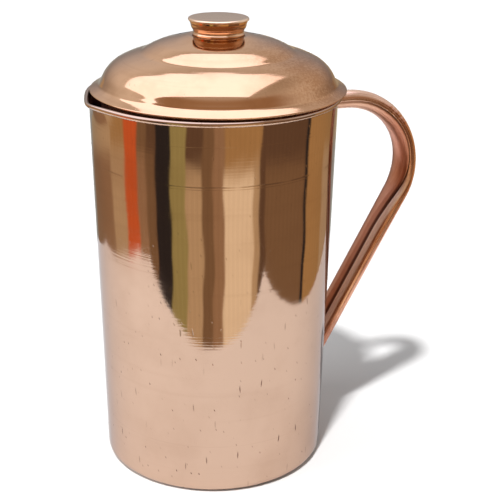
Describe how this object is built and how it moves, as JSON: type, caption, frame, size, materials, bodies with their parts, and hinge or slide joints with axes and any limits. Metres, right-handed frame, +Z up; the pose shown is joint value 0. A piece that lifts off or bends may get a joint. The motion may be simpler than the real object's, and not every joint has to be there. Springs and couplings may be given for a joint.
{
  "type": "copper water jug",
  "caption": "Tall tapered copper water jug with a rolled rim, pinched pouring lip, folded strip handle and a lift-off domed lid with a spool knob.",
  "frame": {"origin": "on the jug's axis, at the underside of its base", "axes": "+Z up along the jug's axis, +X towards the handle, -X towards the pouring lip"},
  "size_m": [0.175, 0.1234, 0.224],
  "materials": {
    "body_copper": "mirror-polished copper",
    "lid_copper": "polished copper, lightly tarnished",
    "handle_copper": "brushed copper, handled",
    "raw_copper": "unpolished copper",
    "braze": "filed braze metal",
    "wire": "drawn iron wire"
  },
  "bodies": {
    "jug": {"body_wall": "body_copper", "base_disc": "body_copper", "base_braze": "braze", "rim_wire": "wire", "handle": "handle_copper", "handle_upper_braze": "braze", "handle_lower_braze": "braze"},
    "lid": {"lid_shell": "lid_copper", "lid_collar": "raw_copper", "knob_neck": "lid_copper", "knob_cap": "lid_copper", "knob_rivet": "raw_copper", "knob_rove": "raw_copper"}
  },
  "joints": [
    {"name": "lid_lift", "type": "slide", "parent": "jug", "child": "lid", "axis": [0, 0, 1], "range_m": [0, 0.06]}
  ]
}
